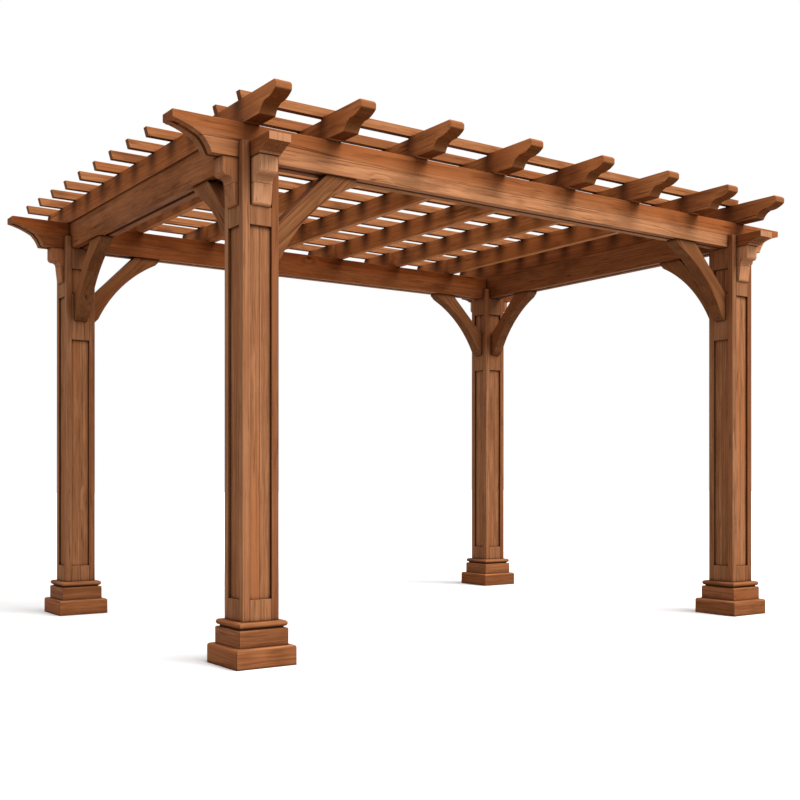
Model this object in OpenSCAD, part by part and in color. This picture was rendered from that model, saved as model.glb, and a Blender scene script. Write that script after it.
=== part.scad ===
// Wooden garden pergola: four panelled box columns on moulded plinths carry
// paired beams, shaped rafters and a top layer of shade slats.
// All sizes are in millimetres. X runs along the long beams, Y to the back, Z up from the ground.

/* [Overall] */
// Distance between column centres along the long beams
span_x = 3384; // [2700:1:4000]
// Distance between column centres along the short beams
span_y = 2405; // [1900:1:3000]
// Height of the underside of the beams above the ground
headroom = 2295; // [2000:1:2600]

/* [Plinth] */
// Width of the square lower block
plinth_w = 304; // [270:1:340]
// Height of the lower block
plinth_h = 92; // [70:1:120]
// Rounding of the top edge of the lower block
plinth_round = 12; // [4:1:20]
// Width of the upper block
cap_w = 248; // [220:1:265]
// Height of the upper block
cap_h = 78; // [60:1:100]
// Rounding of the top edge of the upper block
cap_round = 7; // [2:1:15]
// Height of the shadow gap under the half-round moulding
neck_h = 6; // [3:1:10]
// How far the neck in the shadow gap is set back
neck_set = 14; // [8:1:18]
// Height of the half-round moulding
torus_h = 28; // [20:1:40]
// Width across the half-round moulding
torus_w = 244; // [215:1:260]

/* [Column] */
// Width of the square shaft
shaft_w = 184; // [170:1:200]
// Width and depth of each corner stile
stile_w = 37; // [30:1:42]
// Depth of the panels behind the faces of the stiles
panel_recess = 14; // [8:1:20]
// Thickness of the panel boards
panel_t = 23; // [15:1:28]
// Height of the rail at the foot of each face
rail_h = 98; // [70:1:140]
// Height of the seat block under a beam on the inner faces
seat_h = 130; // [105:1:160]
// Height of the block behind the foot of a knee brace
foot_h = 285; // [250:1:320]
// Height of the block under a corbel on the outer faces
apron_h = 88; // [60:1:120]
// Gap left beside boards and blocks so that they go together
fit_gap = 0.3; // [0.2:0.1:0.6]

/* [Beams] */
// Height of the beams
beam_h = 160; // [140:1:190]
// Thickness of each of the two boards of a beam
beam_t = 42; // [36:1:48]
// Height of the lower boards of the long beams, and of the side beams where they cross them
lap_h = 72; // [55:1:90]
// Reach of the long beams beyond the column centres
long_reach = 411; // [370:1:460]
// Distance from column centre to the foot of the long beam's shaped end
long_foot = 225; // [210:1:255]
// Distance from column centre to the shoulder of that end, at the joint of its boards
long_shoulder = 271; // [262:1:320]
// Upright nose of the long beam's shaped end
long_nose = 36; // [25:1:50]
// Reach of the side beams beyond the column centres
side_reach = 272; // [255:1:300]
// Distance from column centre to the foot of the side beam's shaped end
side_foot = 178; // [168:1:190]
// Distance from column centre to the shoulder of that end
side_shoulder = 196; // [192:1:225]
// Height of that shoulder above the underside
side_step = 12; // [8:1:18]
// Upright nose of the side beam's shaped end
side_nose = 36; // [26:1:44]
// Hollow of the slope on the shaped ends of the beams
end_hollow = 6; // [2:1:9]
// Hollow of the short cove under that slope
foot_hollow = 5; // [1:1:8]
// Length of the packing piece between the boards at a long beam's end
packer_l = 60; // [40:1:80]

/* [Knee braces] */
// Distance from the corner to the far end of a brace, along beam and column
brace_leg = 455; // [400:1:500]
// Distance from the corner to the near end of a brace
brace_near = 290; // [240:1:330]
// Thickness of a brace
brace_t = 80; // [60:1:100]
// Flat land left at each end of the curved edge, along beam and column
brace_land = 42; // [20:1:60]
// Rise of the curved edge
brace_rise = 46; // [20:1:55]
// Depth of the blunt cut at each end of a brace
brace_blunt = 13; // [6:1:20]

/* [Corbels] */
// Projection of a corbel from the column face
corbel_out = 75; // [60:1:85]
// Height of a corbel
corbel_h = 215; // [190:1:240]
// Thickness of a corbel
corbel_t = 92; // [70:1:105]
// Height of the upright face at the top of a corbel
corbel_face = 68; // [50:1:85]
// Height of the double curve under that face
corbel_drop = 38; // [28:1:46]
// Projection of the corbel just below its curve
corbel_waist = 26; // [20:1:34]
// Depth of each half of the corbel's double curve
corbel_curve = 6; // [3:1:9]
// Height of the lip under the curve
corbel_lip = 10; // [4:1:16]
// Projection of the tail piece where it meets the lip
tail_top = 25; // [18:1:26]
// Projection of the tail piece at its rounded foot
tail_low = 15; // [10:1:18]

/* [Rafters] */
// Distance from the second to the seventh rafter
rafter_spread = 2560; // [2300:1:2650]
// How far the first and last rafters stand out past the side beams under them
rafter_proud = 14; // [0:1:30]
// Thickness of a rafter at its tails
rafter_t = 84; // [60:1:95]
// Thickness of the second to seventh rafters between the long beams
rafter_waist = 44; // [36:1:58]
// Height of a rafter
rafter_h = 116; // [105:1:140]
// Reach of the rafters beyond the column centres
rafter_reach = 352; // [300:1:420]
// Length of the shaped tail of a rafter
tail_end = 149; // [130:1:180]
// Distance from the tip of a tail to the turn of its double curve
tail_turn = 94; // [80:1:110]
// Height of that turn above the underside
tail_turn_h = 48; // [40:1:56]
// Upright nose of a rafter tail
rafter_nose = 38; // [30:1:46]
// Chamfer at the top of a rafter tail
rafter_chamfer = 12; // [6:1:18]
// Depth of each half of the double curve
rafter_curve = 9; // [5:1:12]

/* [Slats] */
// Number of slats
slat_n = 12; // [8:1:14]
// Width of a slat
slat_w = 37; // [28:1:50]
// Height of a slat
slat_h = 46; // [38:1:60]
// Reach of the slats beyond the column centres
slat_reach = 212; // [170:1:300]
// Distance of the first slat behind the centres of the front columns
slat_first = 5; // [0:1:120]
// Distance of the last slat behind the centres of the back columns
slat_last = 326; // [120:1:330]
// Undercut at the ends of a slat
slat_cut = 13; // [5:1:20]
// Number of slats at the front that stop flush with the end rafters
slat_short = 2; // [0:1:4]

/* [Hidden] */
$fn = 96;
half_x = span_x / 2;
half_y = span_y / 2;
half_shaft = shaft_w / 2;
slot_w = shaft_w - 2 * stile_w;
half_slot = slot_w / 2;
shaft_foot = plinth_h + cap_h + neck_h + torus_h;
panel_face = half_shaft - panel_recess;
beam_w = slot_w - 2 * fit_gap;
beam_gap = beam_w - 2 * beam_t;
board_mid = (beam_gap + beam_t) / 2;
beam_top = headroom + beam_h;
rafter_top = beam_top + rafter_h;
rafter_pitch = rafter_spread / 5;
end_rafter = half_x + beam_w / 2 + rafter_proud - rafter_t / 2;
slat_pitch = (span_y - slat_first + slat_last) / (slat_n - 1);
foot_low = headroom - brace_near - foot_h;
bracket_h = corbel_face + corbel_drop + corbel_lip;
apron_top = headroom - corbel_h;
stile_top = headroom + lap_h;
curve_steps = 16;
wood_light = [0.66, 0.40, 0.25];
wood_mid = [0.58, 0.33, 0.20];
wood_dark = [0.48, 0.27, 0.16];

// Points of a circular arc from a to b that bulges to the left by the given rise, or to the right if it is negative.
function arc_points(a, b, rise) =
    let (
        along = (b - a) / norm(b - a),
        across = [-along.y, along.x],
        half = norm(b - a) / 2,
        radius = (half * half + rise * rise) / (2 * rise),
        sweep = 2 * atan(rise / half)
    )
    [for (i = [0 : curve_steps])
        let (angle = sweep * (2 * i / curve_steps - 1))
        a + along * (half + radius * sin(angle)) + across * (radius * (cos(angle) - 1) + rise)];

// The same points seen in a mirror across the upright axis, in reverse order.
function mirrored(points) = [for (i = [len(points) - 1 : -1 : 0]) [-points[i].x, points[i].y]];

// Raises a flat outline drawn in X and Z into a piece of the given thickness, centred on Y.
module upright(thickness) {
    rotate([90, 0, 0])
        linear_extrude(thickness, center = true)
            children();
}

// Places a piece at one column, turned so that its local +X points the given way.
module at_column(sx, sy, turn) {
    translate([sx * half_x, sy * half_y, 0])
        rotate([0, 0, turn])
            children();
}

// Turns of the two faces of a column that look out of the pergola.
function out_x(sx) = sx > 0 ? 0 : 180;
function out_y(sy) = sy > 0 ? 90 : 270;

// Flat outline of a block with its two top corners rounded.
module rounded_top(width, height, radius) {
    translate([-width / 2, 0])
        square([width, height - radius]);
    translate([-width / 2 + radius, 0])
        square([width - 2 * radius, height]);
    for (side = [-1, 1])
        translate([side * (width / 2 - radius), height - radius])
            circle(radius);
}

// Square block whose four top edges are rounded and mitred at the corners.
module rounded_block(width, height, radius) {
    intersection() {
        upright(width)
            rounded_top(width, height, radius);
        rotate([0, 0, 90])
            upright(width)
                rounded_top(width, height, radius);
    }
}

// Flat outline of a half-round moulding on both sides.
module half_round(width, height) {
    translate([-width / 2 + height / 2, 0])
        square([width - height, height]);
    for (side = [-1, 1])
        translate([side * (width - height) / 2, height / 2])
            circle(height / 2);
}

// Lower block of the plinth, standing on the ground.
module plinth(sx, sy) {
    color(wood_mid)
        at_column(sx, sy, 0)
            rounded_block(plinth_w, plinth_h, plinth_round);
}

// Upper block, neck and half-round moulding turned out of one piece.
module cap(sx, sy) {
    color(wood_light)
        at_column(sx, sy, 0)
            translate([0, 0, plinth_h]) {
                rounded_block(cap_w, cap_h, cap_round);
                translate([-torus_w / 2 + neck_set, -torus_w / 2 + neck_set, cap_h - cap_round])
                    cube([torus_w - 2 * neck_set, torus_w - 2 * neck_set, cap_round + neck_h + torus_h / 2]);
                translate([0, 0, cap_h + neck_h])
                    intersection() {
                        upright(torus_w)
                            half_round(torus_w, torus_h);
                        rotate([0, 0, 90])
                            upright(torus_w)
                                half_round(torus_w, torus_h);
                    }
            }
}

// Four corner stiles that stand up past the underside of the beams and hold them.
module stiles(sx, sy) {
    color(wood_light)
        for (turn = [0, 90, 180, 270])
            at_column(sx, sy, turn)
                translate([half_slot, half_slot, shaft_foot])
                    cube([stile_w, stile_w, stile_top - shaft_foot]);
}

// Two upright boards behind each face, set back between the stiles.
module panels(sx, sy) {
    board_w = half_slot - 2 * fit_gap;
    color(wood_dark)
        for (turn = [0, 90, 180, 270], side = [-1, 1])
            at_column(sx, sy, turn)
                translate([panel_face - panel_t, side * half_slot / 2 - board_w / 2, shaft_foot])
                    cube([panel_t, board_w, headroom - shaft_foot]);
}

// Block that fills the recess of one face, flush with the stiles.
module face_block(low, height) {
    translate([panel_face, -half_slot + fit_gap, low])
        cube([panel_recess, slot_w - 2 * fit_gap, height]);
}

// One of two such blocks side by side.
module half_block(side, low, height) {
    width = half_slot - 2 * fit_gap;
    translate([panel_face, side * half_slot / 2 - width / 2, low])
        cube([panel_recess, width, height]);
}

// Rails at the foot of all faces, aprons under the corbels, seat and foot blocks at the braces.
module blocks(sx, sy) {
    color(wood_light) {
        for (turn = [0, 90, 180, 270])
            at_column(sx, sy, turn)
                for (side = [-1, 1])
                    half_block(side, shaft_foot, rail_h);
        for (turn = [out_x(sx), out_y(sy)])
            at_column(sx, sy, turn)
                face_block(apron_top - apron_h, apron_h);
        for (turn = [out_x(-sx), out_y(-sy)])
            at_column(sx, sy, turn) {
                face_block(headroom - seat_h, seat_h);
                face_block(foot_low, foot_h);
            }
    }
}

// Flat outline of a corbel bracket: upright face, double curve and lip, let into the recess.
module bracket_outline() {
    top = [corbel_out, -corbel_face];
    waist = [corbel_waist, -corbel_face - corbel_drop];
    middle = (top + waist) / 2;
    polygon(concat(
        [[-panel_recess, 0], [corbel_out, 0]],
        arc_points(top, middle, corbel_curve),
        arc_points(middle, waist, -corbel_curve),
        [[corbel_waist, -bracket_h], [-panel_recess, -bracket_h]]
    ));
}

// Flat outline of the slim tail piece under a bracket, with a rounded foot.
module tail_outline() {
    polygon(concat(
        [[-panel_recess, -bracket_h - fit_gap], [tail_top, -bracket_h - fit_gap]],
        arc_points([tail_low, -corbel_h + tail_low], [0, -corbel_h], tail_low * (1 - cos(45))),
        [[-panel_recess, -corbel_h]]
    ));
}

// Two corbels on the outer faces, under the shaped beam ends.
module corbels(sx, sy) {
    color(wood_mid)
        for (turn = [out_x(sx), out_y(sy)])
            at_column(sx, sy, turn)
                translate([half_shaft, 0, headroom])
                    upright(corbel_t) {
                        bracket_outline();
                        tail_outline();
                    }
}

// Side view of the upper board of a long beam: straight below, a hollow slope up to each nose.
module long_upper_outline() {
    reach = half_x + long_reach;
    half = concat(
        arc_points([half_x + long_shoulder, lap_h], [reach, beam_h - long_nose], end_hollow),
        [[reach, beam_h]]
    );
    polygon(concat(half, mirrored(half)));
}

// Side views of the lower boards of a long beam: one between the side beams, one with a cove at each end.
module long_lower_outlines() {
    low_h = lap_h - fit_gap;
    inner = half_x - half_slot;
    outer = half_x + half_slot;
    translate([-inner, 0])
        square([2 * inner, low_h]);
    for (side = [0, 1])
        mirror([side, 0])
            polygon(concat(
                [[outer, 0]],
                arc_points([half_x + long_foot, 0], [half_x + long_shoulder, low_h], foot_hollow),
                [[outer, low_h]]
            ));
}

// Points of the shaped end of a side beam, from its foot to the top of its nose.
function side_end(reach) = concat(
    arc_points([half_y + side_foot, 0], [half_y + side_shoulder, side_step], side_step / 5),
    arc_points([half_y + side_shoulder, side_step], [reach, lap_h - side_nose], end_hollow / 2),
    [[reach, lap_h - fit_gap]]
);

// Side view of a side beam board, with a halved tongue that runs on under the long beam.
module side_outline() {
    inner = half_y - half_slot;
    half = concat(
        side_end(half_y + side_reach),
        [[inner, lap_h - fit_gap], [inner, beam_h]]
    );
    polygon(concat(half, mirrored(half)));
}

// Side view of the piece that fills the shaped end of a side beam between its boards.
module side_filler_outline() {
    inner = half_y + half_slot;
    polygon(concat(
        [[inner, 0]],
        side_end(half_y + side_reach),
        [[inner, lap_h - fit_gap]]
    ));
}

// Packing piece between the two boards at a long beam's end, flush with the nose.
module packer() {
    translate([half_x + long_reach - packer_l, -beam_gap / 2 + fit_gap, beam_h - long_nose])
        cube([packer_l, beam_gap - 2 * fit_gap, long_nose]);
}

// Long beam of two pairs of boards, upper over lower, with a packing piece in each end.
module long_beam(sy) {
    color(wood_light)
        translate([0, sy * half_y, headroom]) {
            for (side = [-1, 1])
                translate([0, side * board_mid, 0])
                    upright(beam_t) {
                        long_upper_outline();
                        long_lower_outlines();
                    }
            for (turn = [0, 180])
                rotate([0, 0, turn])
                    packer();
        }
}

// Side beam of two boards with a filler in each shaped end.
module side_beam(sx) {
    color(wood_mid)
        translate([sx * half_x, 0, headroom])
            rotate([0, 0, 90]) {
                for (side = [-1, 1])
                    translate([0, side * board_mid, 0])
                        upright(beam_t)
                            side_outline();
                for (turn = [0, 180])
                    rotate([0, 0, turn])
                        upright(beam_gap - 2 * fit_gap)
                            side_filler_outline();
            }
}

// Flat outline of a knee brace, drawn out and down from the corner of column and beam.
module brace_outline() {
    rest = brace_leg - brace_land + brace_blunt;
    polygon(concat(
        [[0, -brace_near], [0, -brace_leg], [brace_blunt, -brace_leg]],
        arc_points([brace_land, -rest], [rest, -brace_land], brace_rise),
        [[brace_leg, -brace_blunt], [brace_leg, 0], [brace_near, 0]]
    ));
}

// Knee brace between an inner face of a column and the beam above it.
module brace(sx, sy, turn) {
    color(wood_mid)
        at_column(sx, sy, turn)
            translate([half_shaft, 0, headroom])
                upright(brace_t)
                    brace_outline();
}

// Side view of a rafter with a double curve under each tail.
module rafter_outline() {
    reach = half_y + rafter_reach;
    foot = [reach - tail_end, 0];
    turn = [reach - tail_turn, tail_turn_h];
    nose = [reach, rafter_h - rafter_nose];
    half = concat(
        arc_points(foot, turn, rafter_curve),
        arc_points(turn, nose, -rafter_curve),
        [[reach, rafter_h - rafter_chamfer], [reach - rafter_chamfer, rafter_h]]
    );
    polygon(concat(half, mirrored(half)));
}

// Wood planed off both sides of an inner rafter, with sloping shoulders over the long beams.
module rafter_waste() {
    spare = 1;
    slope = (rafter_t - rafter_waist) / 2;
    translate([0, 0, -spare])
        linear_extrude(rafter_h + 2 * spare)
            for (side = [-1, 1])
                polygon([
                    [-half_y, side * (rafter_t / 2 + spare)],
                    [-half_y, side * rafter_t / 2],
                    [-half_y + slope, side * rafter_waist / 2],
                    [half_y - slope, side * rafter_waist / 2],
                    [half_y, side * rafter_t / 2],
                    [half_y, side * (rafter_t / 2 + spare)]
                ]);
}

// Place of a rafter along the beams, counted from the left end: the first and last stand over the side beams.
function rafter_place(number) =
    number == 1 ? -end_rafter :
    number == 8 ? end_rafter :
    -rafter_spread / 2 + (number - 2) * rafter_pitch;

// One rafter, counted from the left end of the pergola.
module rafter(number) {
    color(wood_mid)
        translate([rafter_place(number), 0, beam_top])
            rotate([0, 0, 90])
                difference() {
                    upright(rafter_t)
                        rafter_outline();
                    if (number > 1 && number < 8)
                        rafter_waste();
                }
}

// Reach of a slat from the middle of the roof, counted from the front.
function slat_half(number) =
    number < slat_short ? end_rafter + rafter_t / 2 : half_x + slat_reach;

// Side view of a slat, undercut at its ends.
module slat_outline(reach) {
    polygon([
        [-reach + slat_cut, 0], [reach - slat_cut, 0],
        [reach, slat_h], [-reach, slat_h]
    ]);
}

// Shade slats laid across the rafters.
module slats() {
    color(wood_light)
        for (number = [0 : slat_n - 1])
            translate([0, -half_y + slat_first + number * slat_pitch, rafter_top])
                upright(slat_w)
                    slat_outline(slat_half(number));
}

plinth(-1, -1);  // plinth_front_left
plinth(1, -1);  // plinth_front_right
plinth(1, 1);  // plinth_back_right
plinth(-1, 1);  // plinth_back_left
cap(-1, -1);  // cap_front_left
cap(1, -1);  // cap_front_right
cap(1, 1);  // cap_back_right
cap(-1, 1);  // cap_back_left
stiles(-1, -1);  // stiles_front_left
stiles(1, -1);  // stiles_front_right
stiles(1, 1);  // stiles_back_right
stiles(-1, 1);  // stiles_back_left
panels(-1, -1);  // panels_front_left
panels(1, -1);  // panels_front_right
panels(1, 1);  // panels_back_right
panels(-1, 1);  // panels_back_left
blocks(-1, -1);  // blocks_front_left
blocks(1, -1);  // blocks_front_right
blocks(1, 1);  // blocks_back_right
blocks(-1, 1);  // blocks_back_left
corbels(-1, -1);  // corbels_front_left
corbels(1, -1);  // corbels_front_right
corbels(1, 1);  // corbels_back_right
corbels(-1, 1);  // corbels_back_left
long_beam(-1);  // beam_front
long_beam(1);  // beam_back
side_beam(-1);  // beam_left
side_beam(1);  // beam_right
brace(-1, -1, out_x(1));  // brace_front_left_x
brace(1, -1, out_x(-1));  // brace_front_right_x
brace(1, 1, out_x(-1));  // brace_back_right_x
brace(-1, 1, out_x(1));  // brace_back_left_x
brace(-1, -1, out_y(1));  // brace_front_left_y
brace(1, -1, out_y(1));  // brace_front_right_y
brace(1, 1, out_y(-1));  // brace_back_right_y
brace(-1, 1, out_y(-1));  // brace_back_left_y
rafter(1);  // rafter_1
rafter(2);  // rafter_2
rafter(3);  // rafter_3
rafter(4);  // rafter_4
rafter(5);  // rafter_5
rafter(6);  // rafter_6
rafter(7);  // rafter_7
rafter(8);  // rafter_8
slats();
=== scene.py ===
import math

import bmesh
import bpy
from mathutils import Matrix, Vector


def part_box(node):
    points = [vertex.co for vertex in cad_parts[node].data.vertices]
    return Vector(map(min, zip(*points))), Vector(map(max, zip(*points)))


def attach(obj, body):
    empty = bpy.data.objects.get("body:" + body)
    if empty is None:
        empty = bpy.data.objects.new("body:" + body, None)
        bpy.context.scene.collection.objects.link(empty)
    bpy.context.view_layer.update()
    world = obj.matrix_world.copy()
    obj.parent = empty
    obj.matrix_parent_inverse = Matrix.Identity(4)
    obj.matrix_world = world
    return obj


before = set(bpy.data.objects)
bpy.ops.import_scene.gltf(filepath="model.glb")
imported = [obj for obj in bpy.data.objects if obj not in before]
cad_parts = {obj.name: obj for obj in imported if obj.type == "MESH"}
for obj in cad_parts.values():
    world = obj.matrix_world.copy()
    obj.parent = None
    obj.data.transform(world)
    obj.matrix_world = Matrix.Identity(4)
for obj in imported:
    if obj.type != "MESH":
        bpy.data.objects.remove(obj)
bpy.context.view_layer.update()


# Plinths
# Each column stands on a low block, boxed from four sawn boards that are mitred at the corners.
# The top edge is rounded over, and the boards are stained like the rest of the timber.
corners = ("front_left", "front_right", "back_right", "back_left")
plinth_low, plinth_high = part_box("plinth_front_right")
column_x = (plinth_low.x + plinth_high.x) / 2
column_y = -(plinth_low.y + plinth_high.y) / 2
grain_marks = ("Rings", "Fibre", "Streak", "Dark Streak", "Blotch", "Redness", "Knot", "Crack")


def put(tree, kind, inputs=None, **settings):
    """Adds a node, sets its options and fills its inputs with links or fixed values."""
    node = tree.nodes.new(kind)
    for key, value in settings.items():
        setattr(node, key, value)
    for key, value in (inputs or {}).items():
        if isinstance(value, bpy.types.NodeSocket):
            tree.links.new(value, node.inputs[key])
        else:
            node.inputs[key].default_value = value
    return node


def grouped(tree, group, inputs):
    """The outputs of a shader group, placed with its inputs filled."""
    return put(tree, "ShaderNodeGroup", inputs, node_tree=group).outputs


def calc(tree, operation, *values, clamp=False):
    """One step of arithmetic on numbers."""
    inputs = dict(enumerate(values))
    return put(tree, "ShaderNodeMath", inputs, operation=operation, use_clamp=clamp).outputs["Value"]


def times(tree, first, second):
    """The product of two numbers."""
    return calc(tree, "MULTIPLY", first, second)


def opposite(tree, mask):
    """1 where a mask is 0, and 0 where it is 1."""
    return calc(tree, "SUBTRACT", 1, mask)


def vector_calc(tree, operation, *values):
    """One step of arithmetic on vectors."""
    node = put(tree, "ShaderNodeVectorMath", dict(enumerate(values)), operation=operation)
    return node.outputs["Value" if operation == "DOT_PRODUCT" else "Vector"]


def scaled(tree, vector, factor):
    """A vector times a number."""
    node = put(tree, "ShaderNodeVectorMath", {0: vector, "Scale": factor}, operation="SCALE")
    return node.outputs["Vector"]


def smooth_step(tree, value, low, high):
    """0 at low and before it, 1 at high and past it, with a soft change between them."""
    node = put(tree, "ShaderNodeMapRange", {"Value": value, "From Min": low, "From Max": high},
               interpolation_type="SMOOTHSTEP")
    return node.outputs["Result"]


def mixed(tree, factor, first, second, blend="MIX"):
    """Two colours mixed by a factor."""
    node = put(tree, "ShaderNodeMix", {"Factor": factor, "A": first, "B": second},
               data_type="RGBA", blend_type=blend)
    return node.outputs["Result"]


def covered(tree, mask, colour, paint):
    """A colour, covered by a plain paint as far as the mask says."""
    return mixed(tree, mask, colour, (*paint, 1))


def tinted(tree, mask, colour, tint):
    """A colour, multiplied by a plain tint as far as the mask says."""
    return mixed(tree, mask, colour, (*tint, 1), "MULTIPLY")


def shaded(colour, factor):
    """A plain colour, made lighter or darker by a factor."""
    return tuple(value * factor for value in colour)


def new_group(name, inputs, outputs):
    """An empty shader group with the named sockets, the outputs of its input node and its output node."""
    tree = bpy.data.node_groups.new(name, "ShaderNodeTree")
    for label, kind in inputs.items():
        tree.interface.new_socket(label, in_out="INPUT", socket_type="NodeSocket" + kind)
    for label, kind in outputs.items():
        tree.interface.new_socket(label, in_out="OUTPUT", socket_type="NodeSocket" + kind)
    return tree, tree.nodes.new("NodeGroupInput").outputs, tree.nodes.new("NodeGroupOutput")


def hand_out(tree, result, values):
    """Links the finished values to the outputs of their group."""
    for label, value in values.items():
        tree.links.new(value, result.inputs[label])


def make_board_grain():
    """Growth rings, fibres, streaks, drying cracks, uneven stain and knots of a board, along its grain."""
    tree, given, result = new_group(
        "board_grain",
        {"Position": "Vector", "Direction": "Vector", "Board": "Float", "Ring Count": "Float"},
        dict.fromkeys((*grain_marks, "Height"), "Float"),
    )
    from_log = (3.1, 5.7, 4.3)
    place = vector_calc(tree, "MULTIPLY_ADD", given["Board"], from_log, given["Position"])
    along = vector_calc(tree, "DOT_PRODUCT", place, given["Direction"])

    def stretched(stretch):
        pull = scaled(tree, given["Direction"], times(tree, along, 1 - 1 / stretch))
        return vector_calc(tree, "SUBTRACT", place, pull)

    def noise(stretch, scale, detail, roughness=0.5):
        inputs = {"Vector": stretched(stretch), "Scale": scale, "Detail": detail, "Roughness": roughness}
        return put(tree, "ShaderNodeTexNoise", inputs).outputs["Fac"]

    fibre = noise(stretch=22, scale=190, detail=3, roughness=0.6)
    streak = noise(stretch=26, scale=34, detail=4, roughness=0.62)
    dark_streak = noise(stretch=20, scale=80, detail=3, roughness=0.6)
    dark_streak = smooth_step(tree, dark_streak, low=0.55, high=0.72)
    blotch = noise(stretch=2.2, scale=5.5, detail=3, roughness=0.55)
    redness = noise(stretch=4, scale=1.7, detail=2)
    cells = put(tree, "ShaderNodeTexVoronoi", {"Vector": stretched(1.7), "Scale": 3.4})
    knot_far = cells.outputs["Distance"]
    knot = opposite(tree, smooth_step(tree, knot_far, low=0.02, high=0.055))
    swirl = opposite(tree, smooth_step(tree, knot_far, low=0.0, high=0.22))
    form = noise(stretch=48, scale=7, detail=2, roughness=0.45)
    for bend, strength in ((swirl, 0.06), (fibre, 0.02)):
        form = calc(tree, "MULTIPLY_ADD", bend, strength, form)
    ring = calc(tree, "FRACT", times(tree, form, given["Ring Count"]))
    late_wood = smooth_step(tree, ring, low=0.3, high=0.9)
    before_edge = opposite(tree, smooth_step(tree, ring, low=0.92, high=1.0))
    rings = times(tree, late_wood, before_edge)
    rings = times(tree, rings, smooth_step(tree, streak, low=0.3, high=0.65))
    split = calc(tree, "SUBTRACT", noise(stretch=30, scale=13, detail=2, roughness=0.45), 0.5)
    crack = opposite(tree, smooth_step(tree, calc(tree, "ABSOLUTE", split), low=0.001, high=0.009))
    dried_out = smooth_step(tree, noise(stretch=3, scale=4.2, detail=2), low=0.54, high=0.62)
    crack = times(tree, crack, dried_out)
    height = fibre
    for mark, rise in ((rings, 0.35), (dark_streak, -0.5), (crack, -1.5)):
        height = calc(tree, "MULTIPLY_ADD", mark, rise, height)
    marks = (rings, fibre, streak, dark_streak, blotch, redness, knot, crack)
    hand_out(tree, result, {**dict(zip(grain_marks, marks)), "Height": height})
    return tree


def make_wood_stain():
    """Colour of stained wood from the marks of its grain."""
    colours = dict.fromkeys(("Pale", "Deep", "Russet", "Line"), "Color")
    values = dict.fromkeys((*grain_marks, "Board", "Ring Strength", "Smoke"), "Float")
    tree, given, result = new_group("wood_stain", {**colours, **values}, {"Color": "Color"})
    contrast = {"Fibre": 2.1, "Streak": 2.8, "Blotch": 1.2, "Board": 0.6}
    mean_level = 0.55
    level = mean_level - sum(contrast.values()) / 2
    for label, weight in contrast.items():
        level = calc(tree, "MULTIPLY_ADD", given[label], weight, level)
    colour = mixed(tree, level, given["Deep"], given["Pale"])
    reddened = smooth_step(tree, given["Redness"], low=0.48, high=0.72)
    colour = mixed(tree, reddened, colour, given["Russet"])
    line = times(tree, given["Rings"], given["Ring Strength"])
    for label, strength in {"Dark Streak": 0.55, "Crack": 0.75, "Knot": 0.8}.items():
        line = calc(tree, "MULTIPLY_ADD", given[label], strength, line, clamp=True)
    colour = mixed(tree, line, colour, given["Line"])
    smoked = opposite(tree, smooth_step(tree, given["Blotch"], low=0.28, high=0.47))
    colour = mixed(tree, times(tree, smoked, given["Smoke"]), colour, given["Line"])
    hand_out(tree, result, {"Color": colour})
    return tree


def make_wear_and_shade():
    """Masks for rubbed arrises that also serve as painted highlights, for grime and painted contact shade
    in joints, for painted shade in corners and for painted shade under the roof.
    """
    tree, given, result = new_group(
        "wear_and_shade",
        {"Radius": "Float", "Joint Depth": "Float", "Breakup": "Float"},
        {"Edge": "Float", "Joint": "Float", "Corner": "Float", "Roof Shade": "Float"},
    )

    def closed_in(reach, low, high):
        inputs = {"Distance": times(tree, given["Joint Depth"], reach)}
        open_sky = put(tree, "ShaderNodeAmbientOcclusion", inputs, samples=6).outputs["AO"]
        return opposite(tree, smooth_step(tree, open_sky, low, high))

    rounded = put(tree, "ShaderNodeBevel", {"Radius": given["Radius"]}, samples=4).outputs["Normal"]
    facing = put(tree, "ShaderNodeNewGeometry").outputs["Normal"]
    turn = opposite(tree, vector_calc(tree, "DOT_PRODUCT", rounded, facing))
    joint = closed_in(reach=1, low=0.35, high=0.88)
    edge = times(tree, smooth_step(tree, turn, low=0.01, high=0.16), opposite(tree, joint))
    edge = times(tree, edge, smooth_step(tree, given["Breakup"], low=0.2, high=0.6))
    corner = closed_in(reach=5, low=0.3, high=0.95)
    roof_shade_mask = closed_in(reach=28, low=0.4, high=0.95)
    hand_out(tree, result, {"Edge": edge, "Joint": joint, "Corner": corner, "Roof Shade": roof_shade_mask})
    return tree


def make_end_grain():
    """1 on the sawn ends of a board, 0 on its long faces."""
    tree, given, result = new_group("end_grain", {"Direction": "Vector"}, {"Mask": "Float"})
    facing = put(tree, "ShaderNodeNewGeometry").outputs["Normal"]
    square = calc(tree, "ABSOLUTE", vector_calc(tree, "DOT_PRODUCT", facing, given["Direction"]))
    hand_out(tree, result, {"Mask": smooth_step(tree, square, low=0.3, high=0.85)})
    return tree


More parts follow.
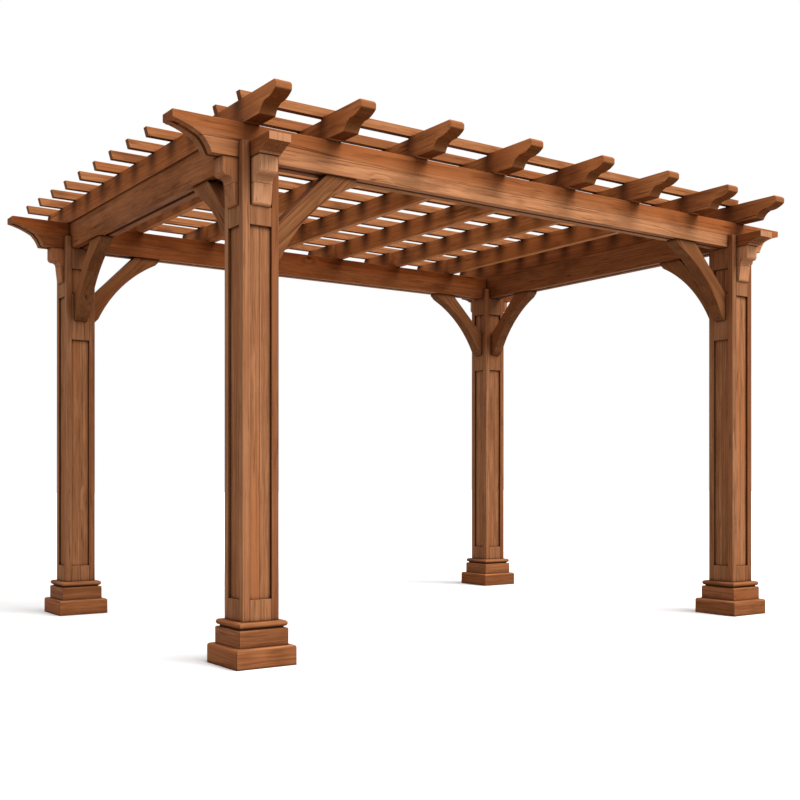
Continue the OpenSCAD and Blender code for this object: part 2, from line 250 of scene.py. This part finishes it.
def make_mitred_grain():
    """Grain direction of a frame of four mitred boards around a column, with the line of its mitres."""
    tree, given, result = new_group(
        "mitred_grain",
        {"Position": "Vector", "Half X": "Float", "Half Y": "Float"},
        {"Direction": "Vector", "Side": "Float", "Mitre": "Float"},
    )
    part = put(tree, "ShaderNodeSeparateXYZ", {"Vector": given["Position"]}).outputs
    off_x = calc(tree, "SUBTRACT", calc(tree, "ABSOLUTE", part["X"]), given["Half X"])
    off_y = calc(tree, "SUBTRACT", calc(tree, "ABSOLUTE", part["Y"]), given["Half Y"])
    lead = calc(tree, "SUBTRACT", calc(tree, "ABSOLUTE", off_y), calc(tree, "ABSOLUTE", off_x))
    side = calc(tree, "GREATER_THAN", lead, 0)
    direction = put(tree, "ShaderNodeCombineXYZ", {"X": side, "Y": opposite(tree, side)}).outputs["Vector"]
    mitre = opposite(tree, smooth_step(tree, calc(tree, "ABSOLUTE", lead), low=0.0006, high=0.0022))
    hand_out(tree, result, {"Direction": direction, "Side": side, "Mitre": mitre})
    return tree


def make_shaded_sides():
    """Masks for painted shade: on faces that look in under the roof, and on undersides."""
    tree, given, result = new_group(
        "shaded_sides",
        {"Position": "Vector"},
        {"Inner": "Float", "Under": "Float"},
    )
    facing = put(tree, "ShaderNodeNewGeometry").outputs["Normal"]
    level_place = vector_calc(tree, "MULTIPLY", given["Position"], (1, 1, 0))
    outward = vector_calc(tree, "DOT_PRODUCT", level_place, facing)
    inner = opposite(tree, smooth_step(tree, outward, low=-0.8, high=0.0))
    downward = vector_calc(tree, "DOT_PRODUCT", facing, (0, 0, -1))
    under = smooth_step(tree, downward, low=0.4, high=0.95)
    hand_out(tree, result, {"Inner": inner, "Under": under})
    return tree


board_grain = make_board_grain()
wood_stain = make_wood_stain()
wear_and_shade = make_wear_and_shade()
end_grain = make_end_grain()
mitred_grain = make_mitred_grain()
shaded_sides = make_shaded_sides()
inner_shade_tint = (0.5, 0.36, 0.24)
under_shade_tint = (0.36, 0.26, 0.16)
roof_shade_tint = (0.66, 0.5, 0.36)
russet_share = (0.86, 0.72, 0.6)
bare_and_lit_gain = 1.35
grime_and_shade_share = 0.16
slat_shadow_share = 0.55
ring_strength = 0.45
end_pale_share = 0.3
end_cover = 0.7
end_calm = 0.8
mitre_cover = 0.8
mitre_depth = 2
piece_shift = 7.31
side_shift = 0.37


def new_material(name):
    """An empty material and its node tree."""
    material = bpy.data.materials.new(name)
    material.use_nodes = True
    material.node_tree.nodes.clear()
    return material, material.node_tree


def grained_board(tree, place, direction, rings):
    """A number for the board, its grain, its sawn ends, and the line of its mitres where it has any."""
    island = put(tree, "ShaderNodeNewGeometry").outputs["Random Per Island"]
    piece = put(tree, "ShaderNodeObjectInfo").outputs["Random"]
    board = calc(tree, "MULTIPLY_ADD", piece, piece_shift, island)
    mitre = None
    if direction is None:
        around = grouped(tree, mitred_grain, {"Position": place, "Half X": column_x, "Half Y": column_y})
        direction = around["Direction"]
        mitre = around["Mitre"]
        board = calc(tree, "MULTIPLY_ADD", around["Side"], side_shift, board)
    board = calc(tree, "FRACT", board)
    grain = grouped(tree, board_grain,
                    {"Position": place, "Direction": direction, "Board": board, "Ring Count": rings})
    sawn = grouped(tree, end_grain, {"Direction": direction})["Mask"]
    return board, grain, sawn, mitre


def stain_colour(tree, board, grain, pale, deep, line, smoke):
    """The colour of a stained board before any wear."""
    russet = tuple(value * share for value, share in zip(pale, russet_share))
    colours = {"Pale": (*pale, 1), "Deep": (*deep, 1), "Russet": (*russet, 1), "Line": (*line, 1)}
    marks = {label: grain[label] for label in grain_marks}
    values = {"Board": board, "Ring Strength": ring_strength, "Smoke": smoke}
    return grouped(tree, wood_stain, {**colours, **marks, **values})["Color"]


def timber(name, pale, deep, line, direction=None, rings=16, smoke=0.5, ends=None, place_tint=None,
           inner_shade=0.1, under_shade=0.15, tails=None, wear_and_highlight=0.5, roof_shade=0.7, slat_shadow=None,
           corner_shade=0.4, joint_shade=0.8):
    """Stained timber, from the colours of its pale wood, its deep wood and its dark grain lines.

    Without a direction, the grain runs round a column in mitred boards. The ends value is the colour of the
    sawn ends, where it isn't worked out from the wood. The place tint is a function that masks some of the
    wood, and the tint of painted shade there. The tails value is a function that paints light and shade on
    the tails and the roofed part of a rafter, and the slat shadow value one that masks painted shadows.
    Each shade says how far a mask of painted shade darkens the wood, and the wear and highlight value how
    far its edges are painted pale, as rubbed wear and as a painted highlight.
    """
    material, tree = new_material(name)
    place = put(tree, "ShaderNodeTexCoord").outputs["Object"]
    part = put(tree, "ShaderNodeSeparateXYZ", {"Vector": place}).outputs
    board, grain, sawn, mitre = grained_board(tree, place, direction, rings)
    colour = stain_colour(tree, board, grain, pale, deep, line, smoke)
    bare_and_lit = shaded(pale, bare_and_lit_gain)
    grime_and_shade = shaded(line, grime_and_shade_share)
    closed = ends or tuple(dark + end_pale_share * (light - dark) for light, dark in zip(pale, deep))
    colour = covered(tree, times(tree, sawn, end_cover), colour, closed)
    if place_tint is not None:
        masked, tint = place_tint
        colour = tinted(tree, masked(tree, part), colour, tint)
    # Painted shade on faces that look in under the roof and on undersides.
    side_shade = grouped(tree, shaded_sides, {"Position": place})
    colour = tinted(tree, times(tree, side_shade["Inner"], inner_shade), colour, inner_shade_tint)
    beneath = times(tree, side_shade["Under"], under_shade)
    if tails is not None:
        colour, past_beams = tails(tree, part, colour, sawn, side_shade["Under"], bare_and_lit)
        beneath = times(tree, beneath, past_beams)
    colour = tinted(tree, beneath, colour, under_shade_tint)
    edge_and_shade_masks = grouped(tree, wear_and_shade, {"Radius": 0.005, "Joint Depth": 0.025, "Breakup": grain["Streak"]})
    # Rubbed pale arrises, partly a painted highlight along the edges.
    colour = covered(tree, times(tree, edge_and_shade_masks["Edge"], wear_and_highlight), colour, bare_and_lit)
    # Painted shade under the roof.
    colour = tinted(tree, times(tree, edge_and_shade_masks["Roof Shade"], roof_shade), colour, roof_shade_tint)
    # Painted shadows of the slats.
    if slat_shadow is not None:
        colour = covered(tree, slat_shadow(tree, part, grain["Blotch"]), colour, shaded(line, slat_shadow_share))
    # Painted shade near corners, then grime and painted contact shade in the joints.
    colour = covered(tree, times(tree, edge_and_shade_masks["Corner"], corner_shade), colour, line)
    colour = covered(tree, times(tree, edge_and_shade_masks["Joint"], joint_shade), colour, grime_and_shade)
    height = times(tree, grain["Height"], calc(tree, "MULTIPLY_ADD", sawn, -end_calm, 1))
    if mitre is not None:
        colour = covered(tree, times(tree, mitre, mitre_cover), colour, grime_and_shade)
        height = calc(tree, "MULTIPLY_ADD", mitre, -mitre_depth, height)
    sheen = put(tree, "ShaderNodeMapRange", {"Value": grain["Streak"], "From Min": 0.3, "From Max": 0.7,
                                             "To Min": 0.5, "To Max": 0.7}).outputs["Result"]
    sheen = calc(tree, "MULTIPLY_ADD", edge_and_shade_masks["Joint"], 0.2, sheen, clamp=True)
    bump = put(tree, "ShaderNodeBump", {"Height": height, "Strength": 0.35, "Distance": 0.0012})
    shader = put(tree, "ShaderNodeBsdfPrincipled",
                 {"Base Color": colour, "Roughness": sheen, "Specular IOR Level": 0.02,
                  "Normal": bump.outputs["Normal"]})
    put(tree, "ShaderNodeOutputMaterial", {"Surface": shader.outputs["BSDF"]})
    return material


def dress(name, material, ease):
    """Gives a timber of the frame its material and eases its sharp edges by the given width."""
    timber_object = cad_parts[name]
    timber_object.data.materials.clear()
    timber_object.data.materials.append(material)
    timber_object.modifiers.new("join_faces", "WELD").merge_threshold = 0.00005
    flat = timber_object.modifiers.new("merge_flats", "DECIMATE")
    flat.decimate_type = "DISSOLVE"
    flat.angle_limit = math.radians(0.5)
    bevel = timber_object.modifiers.new("eased_edges", "BEVEL")
    bevel.width = ease
    bevel.segments = 2
    bevel.limit_method = "ANGLE"
    bevel.angle_limit = math.radians(32)
    bevel.use_clamp_overlap = True
    timber_object.modifiers.new("even_shading", "WEIGHTED_NORMAL").weight = 80


plinth_timber = timber("plinth_timber", pale=(0.51, 0.21, 0.087), deep=(0.3, 0.111, 0.044),
                       line=(0.13, 0.042, 0.016), wear_and_highlight=0.9)
for corner in corners:
    dress("plinth_" + corner, plinth_timber, ease=0.003)


# Caps
# A second block on the plinth with a small rounded edge, a shadow gap and a half-round moulding above it.
# It is run from the same boards as the plinth and mitred in the same way.
cap_timber = timber("cap_timber", pale=(0.48, 0.203, 0.087), deep=(0.275, 0.106, 0.043),
                    line=(0.12, 0.04, 0.016), wear_and_highlight=0.9)
for corner in corners:
    dress("cap_" + corner, cap_timber, ease=0.002)


# Stiles
# Four square corner posts make the frame of each column and stand up past the beams on both sides.
# They are planed straight-grained timber with eased arrises, and the right-hand pair is painted darker as
# shade.
upright = (0, 0, 1)


def right_stiles(tree, part):
    """1 on the right-hand half of each column, where shade is painted."""
    middle = times(tree, calc(tree, "SIGN", part["X"]), column_x)
    return calc(tree, "GREATER_THAN", part["X"], middle)


stile_timber = timber("stile_timber", pale=(0.47, 0.212, 0.099), deep=(0.285, 0.118, 0.053),
                      line=(0.135, 0.048, 0.019), direction=upright, smoke=0.15, wear_and_highlight=0.55,
                      place_tint=(right_stiles, (0.74, 0.68, 0.64)))
for corner in corners:
    dress("stiles_" + corner, stile_timber, ease=0.003)


# Panels
# Two upright boards side by side close each face of a column, set back behind the stiles.
# The joint between them and the grooves along the stiles are left open.
panel_timber = timber("panel_timber", pale=(0.485, 0.213, 0.096), deep=(0.295, 0.118, 0.05),
                      line=(0.13, 0.045, 0.018), direction=upright, smoke=0.15, roof_shade=0.3,
                      corner_shade=0.15)
for corner in corners:
    dress("panels_" + corner, panel_timber, ease=0.002)


# Blocks
# Rails at the foot of the column faces, and blocks behind the brace feet and under beams and corbels.
# They are short boards that fill the recess of a face flush with the stiles.
block_timber = timber("block_timber", pale=(0.42, 0.185, 0.083), deep=(0.295, 0.121, 0.053),
                      line=(0.13, 0.045, 0.018), direction=upright, smoke=0.2, roof_shade=0.15,
                      corner_shade=0.2)
for corner in corners:
    dress("blocks_" + corner, block_timber, ease=0.0025)


# Corbels
# A bandsawn bracket with a double curve under each beam end, and a slim tail piece below it.
# Both are screwed into the recess of the column face from behind. Those at the sides are painted darker as
# shade.
side_face = 0.065


def side_corbels(tree, part):
    """1 on the corbels of the left and right faces of a column, where shade is painted."""
    return calc(tree, "GREATER_THAN", calc(tree, "ABSOLUTE", part["X"]), column_x + side_face)


corbel_timber = timber("corbel_timber", pale=(0.74, 0.365, 0.185), deep=(0.58, 0.262, 0.126),
                       line=(0.22, 0.085, 0.036), direction=upright, smoke=0.15,
                       place_tint=(side_corbels, (0.66, 0.57, 0.5)), roof_shade=0.1,
                       corner_shade=0.15, joint_shade=0.45)
for corner in corners:
    dress("corbels_" + corner, corbel_timber, ease=0.003)


# Side beams
# Pairs of boards with a packing piece in each end, halved to pass under the long beams.
# Their shaped ends stand out past the columns to the front and the back.
crosswise = (0, 1, 0)
# The pale sawn ends partly paint light onto the downward cove of each shaped end.
side_beam_timber = timber("side_beam_timber", pale=(0.42, 0.16, 0.058), deep=(0.25, 0.083, 0.028),
                          line=(0.12, 0.037, 0.013), direction=crosswise, rings=20,
                          ends=(0.66, 0.32, 0.165), inner_shade=0.45)
for side in ("left", "right"):
    dress("beam_" + side, side_beam_timber, ease=0.0012)


# Long beams
# Two pairs of boards, an upper pair over a lower pair, held in the column heads between the stiles.
# The ends are bandsawn to a nose, a hollow slope and a short cove, and the upper boards are painted darker
# as shade.
lengthwise = (1, 0, 0)
lower_board_height = 0.072
upper_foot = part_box("beam_front")[0].z + lower_board_height
fade_below = 0.03
fade_above = 0.06


def upper_boards(tree, part):
    """1 on the upper boards of a long beam, where shade is painted, with a soft change along their lower
    edge.
    """
    return smooth_step(tree, part["Z"], low=upper_foot - fade_below, high=upper_foot + fade_above)


long_beam_timber = timber("long_beam_timber", pale=(0.64, 0.287, 0.13), deep=(0.42, 0.171, 0.073),
                          line=(0.17, 0.057, 0.022), direction=lengthwise, rings=20,
                          ends=(0.26, 0.1, 0.042), place_tint=(upper_boards, (0.74, 0.59, 0.44)),
                          inner_shade=0.95, corner_shade=0.75)
for side in ("front", "back"):
    dress("beam_" + side, long_beam_timber, ease=0.003)


# Knee braces
# Each brace is sawn from a thick plank with its grain along the diagonal and a curved lower edge.
# It is screwed through the flat lands at its ends into the column and the beam.
braces = {}
for corner in corners:
    along_x = -1 if "right" in corner else 1
    along_y = -1 if "back" in corner else 1
    braces["brace_" + corner + "_x"] = Vector((along_x, 0, 0))
    braces["brace_" + corner + "_y"] = Vector((0, along_y, 0))
brace_timbers = {}
for name, outward in braces.items():
    key = tuple(outward)
    if key not in brace_timbers:
        diagonal = (outward + Vector(upright)).normalized()
        brace_timbers[key] = timber("brace_timber_" + str(len(brace_timbers)), pale=(0.315, 0.126, 0.049),
                                    deep=(0.212, 0.077, 0.028), line=(0.107, 0.034, 0.012),
                                    direction=tuple(diagonal), smoke=0.2, roof_shade=0.1)
    dress(name, brace_timbers[key], ease=0.003)


# Brace screws
# One dark coated steel screw with a washer head and a six-lobe recess holds the foot of each brace.
# It is driven square through the flat land until the head sits on the wood.
head_profile = ((0.0082, -0.0004), (0.0082, 0.0009), (0.0076, 0.0014), (0.0058, 0.0018), (0.0053, 0.0034),
                (0.0045, 0.0042), (0.0031, 0.0044))
recess_depth = 0.0026
lobe_count = 6
lobe_swing = 0.0005
head_steps = 48
land_out = 0.0275
land_up = 0.0145
dark_coat = (0.025, 0.019, 0.014)
pale_coat = (0.075, 0.052, 0.036)
bare_steel = (0.3, 0.26, 0.22)


def head_ring(mesh, radius, height, swing, stand):
    """A ring of vertices round a screw head, waved in and out by the swing once for each lobe."""
    ring = []
    for step in range(head_steps):
        turn = 2 * math.pi * step / head_steps
        reach = radius + swing * math.cos(lobe_count * turn)
        point = Vector((reach * math.cos(turn), reach * math.sin(turn), height))
        ring.append(mesh.verts.new(stand @ point))
    return ring


def add_screw(mesh, stand):
    """A screw head turned about the Z axis of its stand, with the recess sunk in its top."""
    top_radius, top = head_profile[-1]
    rings = [head_ring(mesh, radius, height, 0, stand) for radius, height in head_profile]
    rings.append(head_ring(mesh, top_radius - 2 * lobe_swing, top, lobe_swing, stand))
    rings.append(head_ring(mesh, top_radius - 3 * lobe_swing, top - recess_depth, lobe_swing, stand))
    for low, high in zip(rings, rings[1:]):
        for step in range(head_steps):
            after = (step + 1) % head_steps
            mesh.faces.new((low[step], low[after], high[after], high[step]))
    mesh.faces.new(rings[-1])
    mesh.faces.new(reversed(rings[0]))


screw_mesh = bmesh.new()
for name, outward in braces.items():
    low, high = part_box(name)
    leg = high.z - low.z
    land = (low + high) / 2 + outward * (land_out - leg / 2)
    land.z = low.z + land_up
    facing = (outward - Vector(upright)).normalized()
    stand = Matrix.Translation(land) @ facing.to_track_quat("Z", "Y").to_matrix().to_4x4()
    add_screw(screw_mesh, stand)
screw_data = bpy.data.meshes.new("brace_screws")
screw_mesh.to_mesh(screw_data)
screw_mesh.free()
screws = bpy.data.objects.new("brace_screws", screw_data)
bpy.context.collection.objects.link(screws)
screw_steel, steel_tree = new_material("screw_steel")
steel_place = put(steel_tree, "ShaderNodeTexCoord").outputs["Object"]
mottle = put(steel_tree, "ShaderNodeTexNoise", {"Vector": steel_place, "Scale": 420, "Detail": 4})
mottle = mottle.outputs["Fac"]
faded = smooth_step(steel_tree, mottle, low=0.35, high=0.7)
steel_colour = mixed(steel_tree, faded, (*dark_coat, 1), (*pale_coat, 1))
steel_wear = grouped(steel_tree, wear_and_shade, {"Radius": 0.0008, "Joint Depth": 0.003, "Breakup": mottle})
rubbed_steel = times(steel_tree, steel_wear["Edge"], 0.6)
steel_colour = covered(steel_tree, rubbed_steel, steel_colour, bare_steel)
steel_sheen = calc(steel_tree, "MULTIPLY_ADD", mottle, 0.3, 0.3)
steel_bump = put(steel_tree, "ShaderNodeBump", {"Height": mottle, "Strength": 0.2, "Distance": 0.0003})
steel_shader = put(steel_tree, "ShaderNodeBsdfPrincipled",
                   {"Base Color": steel_colour, "Roughness": steel_sheen, "Metallic": 0.8,
                    "Normal": steel_bump.outputs["Normal"]})
put(steel_tree, "ShaderNodeOutputMaterial", {"Surface": steel_shader.outputs["BSDF"]})
screw_data.materials.append(screw_steel)
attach(screws, "root")


# Rafters
# Thick boards set on edge across the long beams, with a double curve sawn under each tail.
# The inner six are planed slimmer between the beams, and the shadows of the slats are painted on all of
# them.
# They sit on the beams without a notch and are screwed down from above.
rafter_count = 8
rafter_low, rafter_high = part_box("rafter_4")
tail_root = column_y + 0.08
tail_tip = rafter_high.y - 0.07
# The tails are painted lighter as lit wood, and their undersides darker as shade.
tail_light_tint = (1.45, 1.5, 1.5)
roof_fade = 0.25
slat_count = 12
slat_half_width = 0.0185
slat_low, slat_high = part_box("slats")
first_slat = slat_low.y + slat_half_width
last_slat = slat_high.y - slat_half_width
slat_pitch = (last_slat - first_slat) / (slat_count - 1)
shadow_half_width = 0.09
shadow_foot = rafter_low.z - 0.045
shadow_head = rafter_high.z - 0.01
shadow_strength = 0.85


def tail_light_and_shade(roof_light_tint):
    """A function that paints light on the tails, paints the given lighting on the wood under the roof, and
    paints light on its underside there.
    """

    def light_and_shade(tree, part, colour, sawn, under, bare_and_lit):
        reach = calc(tree, "ABSOLUTE", part["Y"])
        lit_tails = smooth_step(tree, reach, low=tail_root, high=tail_tip)
        colour = tinted(tree, times(tree, lit_tails, opposite(tree, sawn)), colour, tail_light_tint)
        roofed = smooth_step(tree, reach, low=tail_root, high=tail_root - roof_fade)
        colour = tinted(tree, roofed, colour, roof_light_tint)
        lit_underside = times(tree, under, calc(tree, "LESS_THAN", reach, tail_root))
        past_beams = calc(tree, "GREATER_THAN", reach, tail_root)
        return covered(tree, lit_underside, colour, bare_and_lit), past_beams

    return light_and_shade


def slat_shadows(tree, part, blotch):
    """Bands of painted shadow under the slats that fade towards the foot of a rafter."""
    pitches = calc(tree, "MULTIPLY_ADD", part["Y"], 1 / slat_pitch, 0.5 - first_slat / slat_pitch)
    off_slat = calc(tree, "SUBTRACT", calc(tree, "FRACT", pitches), 0.5)
    away = times(tree, calc(tree, "ABSOLUTE", off_slat), slat_pitch)
    band = opposite(tree, smooth_step(tree, away, low=0.0, high=shadow_half_width))
    band = times(tree, band, smooth_step(tree, part["Z"], low=shadow_foot, high=shadow_head))
    band = times(tree, band, calc(tree, "GREATER_THAN", part["Y"], first_slat - slat_pitch / 2))
    band = times(tree, band, smooth_step(tree, blotch, low=0.1, high=0.45))
    return times(tree, band, shadow_strength)


# The end rafters get painted shade under the roof, and the inner ones painted light there.
rafter_timbers = []
for name, roof_light_tint in (("end_rafter_timber", (0.95, 0.85, 0.75)), ("rafter_timber", (1.22, 1.18, 1.05))):
    rafter_timbers.append(timber(name, pale=(0.47, 0.182, 0.067), deep=(0.28, 0.095, 0.032),
                                 line=(0.12, 0.036, 0.012), direction=crosswise, rings=20, under_shade=0.95,
                                 tails=tail_light_and_shade(roof_light_tint), roof_shade=0.25, slat_shadow=slat_shadows,
                                 corner_shade=0.75))
for number in range(1, rafter_count + 1):
    within = 1 < number < rafter_count
    dress("rafter_" + str(number), rafter_timbers[within], ease=0.004)


# Slats
# Slim battens laid flat across the rafters for shade, undercut at their ends.
# Each is one clear length of timber, nailed down at every rafter.
# The undersides and undercut ends of the slats are painted dark as shade.
slat_timber = timber("slat_timber", pale=(0.53, 0.218, 0.086), deep=(0.32, 0.118, 0.043),
                     line=(0.12, 0.039, 0.014), direction=lengthwise, ends=(0.1, 0.035, 0.013),
                     under_shade=1.0, roof_shade=0.1)
dress("slats", slat_timber, ease=0.002)


# Floor
# A plain pale floor that takes the soft shadow of the pergola.
# It is clear from below, so that the underside of the roof can be seen.
floor_half = 60.0


def in_view(tree):
    """1 for what the camera sees, directly, mirrored or through glass, and 0 for what only gives light."""
    path = put(tree, "ShaderNodeLightPath").outputs
    mirrored = calc(tree, "MAXIMUM", path["Is Glossy Ray"], path["Is Transmission Ray"])
    return calc(tree, "MAXIMUM", path["Is Camera Ray"], mirrored)


floor_corners = [(-floor_half, -floor_half, 0), (floor_half, -floor_half, 0),
                 (floor_half, floor_half, 0), (-floor_half, floor_half, 0)]
floor_mesh = bpy.data.meshes.new("floor")
floor_mesh.from_pydata(floor_corners, [], [(0, 1, 2, 3)])
floor = bpy.data.objects.new("floor", floor_mesh)
bpy.context.collection.objects.link(floor)
floor_paint, floor_tree = new_material("floor_paint")
floor_colour = mixed(floor_tree, in_view(floor_tree), (0.3, 0.3, 0.3, 1), (1.0, 1.0, 1.0, 1))
floor_shader = put(floor_tree, "ShaderNodeBsdfDiffuse", {"Color": floor_colour})
floor_below = put(floor_tree, "ShaderNodeNewGeometry").outputs["Backfacing"]
floor_clear = put(floor_tree, "ShaderNodeBsdfTransparent")
floor_mix = put(floor_tree, "ShaderNodeMixShader",
                {0: floor_below, 1: floor_shader.outputs["BSDF"], 2: floor_clear.outputs["BSDF"]})
put(floor_tree, "ShaderNodeOutputMaterial", {"Surface": floor_mix.outputs["Shader"]})
floor_mesh.materials.append(floor_paint)


# Light
# Even white surroundings and one broad lamp high at the front right, as in a photographer's studio.
# The surroundings look white in the picture and give the wood a little less light than that.
world = bpy.data.worlds.new("studio")
bpy.context.scene.world = world
world.use_nodes = True
world_tree = world.node_tree
world_tree.nodes.clear()
fill_light = put(world_tree, "ShaderNodeBackground", {"Color": (1.0, 1.0, 1.0, 1), "Strength": 0.7})
backdrop = put(world_tree, "ShaderNodeBackground", {"Color": (1.0, 1.0, 1.0, 1), "Strength": 1.0})
world_mix = put(world_tree, "ShaderNodeMixShader",
                {0: in_view(world_tree), 1: fill_light.outputs["Background"],
                 2: backdrop.outputs["Background"]})
put(world_tree, "ShaderNodeOutputWorld", {"Surface": world_mix.outputs["Shader"]})
key_data = bpy.data.lights.new("key", "SUN")
key_data.energy = 3.4
key_data.angle = math.radians(45)
key = bpy.data.objects.new("key", key_data)
bpy.context.collection.objects.link(key)
key_from = Vector((0.3, -0.56, 0.77))
key.rotation_euler = key_from.to_track_quat("Z", "Y").to_euler()


# Camera
# It stands level at waist height and looks in from the front left.
# Its frame is shifted up to take in the roof, so that the columns stay upright in the picture.
camera_data = bpy.data.cameras.new("camera")
camera_data.lens = 50.08
camera_data.sensor_width = 36
camera_data.shift_y = 0.0988
camera = bpy.data.objects.new("camera", camera_data)
bpy.context.collection.objects.link(camera)
camera.location = (-4.0634, -5.7738, 0.8461)
camera.rotation_euler = (math.radians(90), 0, math.radians(-35.017))
bpy.context.scene.camera = camera
bpy.context.scene.view_settings.view_transform = "Standard"
